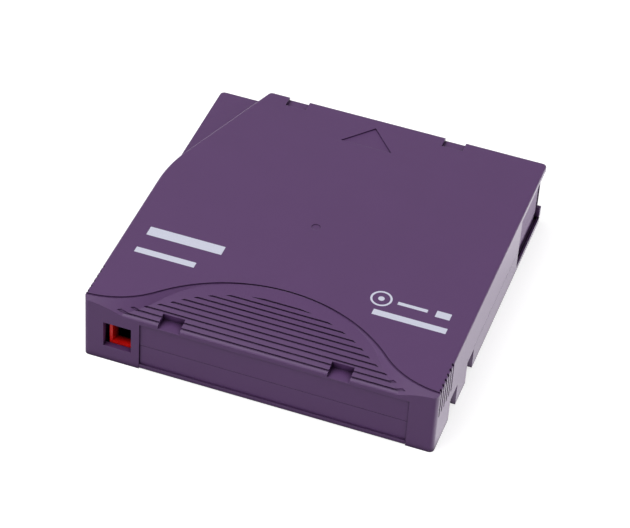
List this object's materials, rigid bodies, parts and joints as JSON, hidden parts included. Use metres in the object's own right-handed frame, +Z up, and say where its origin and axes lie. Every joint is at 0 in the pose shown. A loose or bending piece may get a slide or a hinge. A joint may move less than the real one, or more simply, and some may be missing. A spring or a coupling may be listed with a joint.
{
  "type": "data tape cartridge",
  "caption": "Flat single-reel data tape cartridge with a ridged thumb grip, sliding access door, write protect tab, braked reel and leader pin.",
  "frame": {"origin": "middle of the footprint, on the surface the case lies on", "axes": "+Y from the label face to the leading edge, +X towards the access door, +Z up through the roof"},
  "size_m": [0.102, 0.1054, 0.0215],
  "materials": {
    "case_plastic": "moulded, fine matt texture",
    "door_plastic": "moulded, fine matt texture",
    "tab_plastic": "moulded, smooth",
    "reel_plastic": "moulded, milky natural resin",
    "brake_plastic": "moulded, dark acetal",
    "coated_tape": "wound edge of coated film",
    "plate_steel": "stamped",
    "spring_steel": "drawn wire and strip",
    "pin_steel": "turned",
    "screw_steel": "blackened",
    "clip_plastic": "moulded",
    "board_laminate": "green laminate",
    "chip_resin": "cast resin"
  },
  "bodies": {
    "case": {"upper_shell": "case_plastic", "lower_shell": "case_plastic", "case_screws": "screw_steel", "leader_pin": "pin_steel", "leader_pin_clip": "clip_plastic", "leader_pin_spring": "spring_steel", "leader_tape": "coated_tape", "memory_board": "board_laminate", "memory_chip": "chip_resin", "door_spring": "spring_steel", "brake_spring": "spring_steel"},
    "door": {"access_door": "door_plastic"},
    "tab": {"write_protect_tab": "tab_plastic"},
    "reel": {"reel_hub": "reel_plastic", "reel_upper_flange": "reel_plastic", "reel_drive_plate": "plate_steel", "tape_pack": "coated_tape"},
    "brake": {"brake_button": "brake_plastic"},
    "pad": {"brake_release_pad": "brake_plastic"}
  },
  "joints": [
    {"name": "door_slide", "type": "slide", "parent": "case", "child": "door", "axis": [0, -1, 0], "range_m": [0, 0.021], "stiffness_N_per_m": 30, "springref_m": -0.015, "deforming": ["door_spring"]},
    {"name": "tab_slide", "type": "slide", "parent": "case", "child": "tab", "axis": [-1, 0, 0], "range_m": [0, 0.0042]},
    {"name": "reel_spin", "type": "hinge", "parent": "case", "child": "reel", "pos_m": [0, 0.0007, 0.01], "axis": [0, 0, 1], "continuous": true},
    {"name": "brake_lift", "type": "slide", "parent": "case", "child": "brake", "axis": [0, 0, 1], "range_m": [0, 0.002], "stiffness_N_per_m": 200, "springref_m": -0.004, "deforming": ["brake_spring"]},
    {"name": "pad_lift", "type": "slide", "parent": "reel", "child": "pad", "axis": [0, 0, 1], "range_m": [0, 0.002]}
  ],
  "couplings": [
    {"joint": "pad_lift", "follows": "brake_lift", "ratio": 1}
  ]
}
